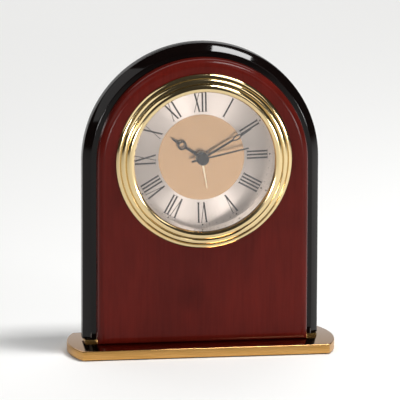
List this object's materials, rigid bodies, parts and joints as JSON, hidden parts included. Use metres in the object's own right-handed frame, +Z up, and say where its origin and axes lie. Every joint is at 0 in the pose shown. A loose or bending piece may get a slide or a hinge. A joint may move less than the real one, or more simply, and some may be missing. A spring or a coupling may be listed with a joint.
{
  "type": "mantel clock",
  "caption": "Arched mantel clock: mahogany panel on a black lacquered board, gilt bow-ended base and a round brass alarm insert with silvered dial.",
  "frame": {"origin": "centre of the underside, on the surface the clock stands on", "axes": "+Z up; -Y is the dial side, facing the viewer; +X is the viewer's right; the hands turn about an axis along Y"},
  "size_m": [0.1366, 0.042, 0.1579],
  "materials": {
    "green_felt": "wool felt",
    "satin_brass": "brushed and lacquered",
    "polished_brass": "polished",
    "zinc_steel": "zinc plated",
    "black_lacquer": "black polyester lacquer on MDF, polished",
    "mahogany_lacquer": "mahogany stain under gloss lacquer",
    "beech": "plain",
    "clear_glass": "clear",
    "black_rubber": "matt",
    "bright_ring": "bright",
    "silvered_dial": "sunburst brushed",
    "gilt_mirror": "mirror polished",
    "black_abs": "moulded, fine texture",
    "white_acetal": "moulded",
    "copper_winding": "enamelled copper wire",
    "bare_steel": "stamped",
    "green_board": "solder mask",
    "red_abs": "moulded",
    "black_hand": "black paint on aluminium",
    "gilt_hand": "gilt",
    "cell_sleeve": "printed sleeve on steel can"
  },
  "bodies": {
    "clock_case": {"felt_pad": "green_felt", "base_plate": "satin_brass", "riser_strip": "polished_brass", "case_screws": "zinc_steel", "arch_board": "black_lacquer", "front_panel": "mahogany_lacquer", "dowels": "beech", "bezel": "polished_brass", "lens": "clear_glass", "lens_gasket": "black_rubber", "dial_ring": "bright_ring", "dial_plate": "silvered_dial", "dial_centre_disc": "gilt_mirror", "insert_housing": "black_abs", "grip_band": "black_rubber", "movement_front_plate": "black_abs", "movement_middle_plate": "white_acetal", "movement_rear_case": "black_abs", "movement_screws": "zinc_steel", "insert_screws": "zinc_steel", "coil": "copper_winding", "stator": "bare_steel", "circuit_board": "green_board", "quartz_crystal": "bare_steel", "alarm_sounder": "black_abs", "battery_contact_positive": "bare_steel", "battery_contact_negative": "bare_steel"},
    "second": {"second_hand": "black_hand", "second_wheel": "white_acetal"},
    "third": {"third_wheel": "white_acetal"},
    "centre": {"centre_wheel": "white_acetal"},
    "intermediate": {"intermediate_wheel": "white_acetal"},
    "rotor": {"rotor_pinion": "white_acetal", "rotor_magnet": "bare_steel"},
    "minute": {"minute_hand": "black_hand", "minute_pipe": "white_acetal"},
    "hour": {"hour_hand": "black_hand", "hour_wheel": "white_acetal"},
    "time_set": {"motion_wheel": "white_acetal", "time_set_knob": "black_abs"},
    "alarm": {"alarm_hand": "gilt_hand", "alarm_wheel": "white_acetal"},
    "alarm_set": {"alarm_set_arbor": "white_acetal", "alarm_set_knob": "black_abs"},
    "switch": {"alarm_switch": "red_abs"},
    "cell": {"battery": "cell_sleeve"}
  },
  "joints": [
    {"name": "second_turn", "type": "hinge", "parent": "clock_case", "child": "second", "pos_m": [0, 0, 0.0994], "axis": [0, 1, 0], "continuous": true},
    {"name": "third_turn", "type": "hinge", "parent": "clock_case", "child": "third", "pos_m": [-0.0051, 0, 0.10823], "axis": [0, 1, 0], "continuous": true},
    {"name": "centre_turn", "type": "hinge", "parent": "clock_case", "child": "centre", "pos_m": [0, 0, 0.0994], "axis": [0, 1, 0], "continuous": true},
    {"name": "intermediate_turn", "type": "hinge", "parent": "clock_case", "child": "intermediate", "pos_m": [0.00602, 0, 0.108], "axis": [0, 1, 0], "continuous": true},
    {"name": "rotor_turn", "type": "hinge", "parent": "clock_case", "child": "rotor", "pos_m": [0.01292, 0, 0.11379], "axis": [0, 1, 0], "continuous": true},
    {"name": "minute_turn", "type": "hinge", "parent": "clock_case", "child": "minute", "pos_m": [0, 0, 0.0994], "axis": [0, 1, 0], "continuous": true},
    {"name": "hour_turn", "type": "hinge", "parent": "clock_case", "child": "hour", "pos_m": [0, 0, 0.0994], "axis": [0, 1, 0], "continuous": true},
    {"name": "time_set_turn", "type": "hinge", "parent": "clock_case", "child": "time_set", "pos_m": [-0.012, 0, 0.0994], "axis": [0, 1, 0], "continuous": true},
    {"name": "alarm_turn", "type": "hinge", "parent": "clock_case", "child": "alarm", "pos_m": [0, 0, 0.0994], "axis": [0, 1, 0], "continuous": true},
    {"name": "alarm_set_turn", "type": "hinge", "parent": "clock_case", "child": "alarm_set", "pos_m": [0.012, 0, 0.0994], "axis": [0, 1, 0], "continuous": true},
    {"name": "alarm_switch_slide", "type": "slide", "parent": "clock_case", "child": "switch", "axis": [1, 0, 0], "range_m": [0, 0.004]},
    {"name": "battery_lift_out", "type": "slide", "parent": "clock_case", "child": "cell", "axis": [0, 1, 0], "range_m": [0, 0.03]}
  ],
  "couplings": [
    {"joint": "third_turn", "follows": "second_turn", "ratio": -0.13333},
    {"joint": "centre_turn", "follows": "second_turn", "ratio": 0.016667},
    {"joint": "intermediate_turn", "follows": "second_turn", "ratio": -6},
    {"joint": "rotor_turn", "follows": "second_turn", "ratio": 30},
    {"joint": "hour_turn", "follows": "minute_turn", "ratio": 0.083333},
    {"joint": "time_set_turn", "follows": "minute_turn", "ratio": -0.25},
    {"joint": "alarm_set_turn", "follows": "alarm_turn", "ratio": -1.5}
  ]
}
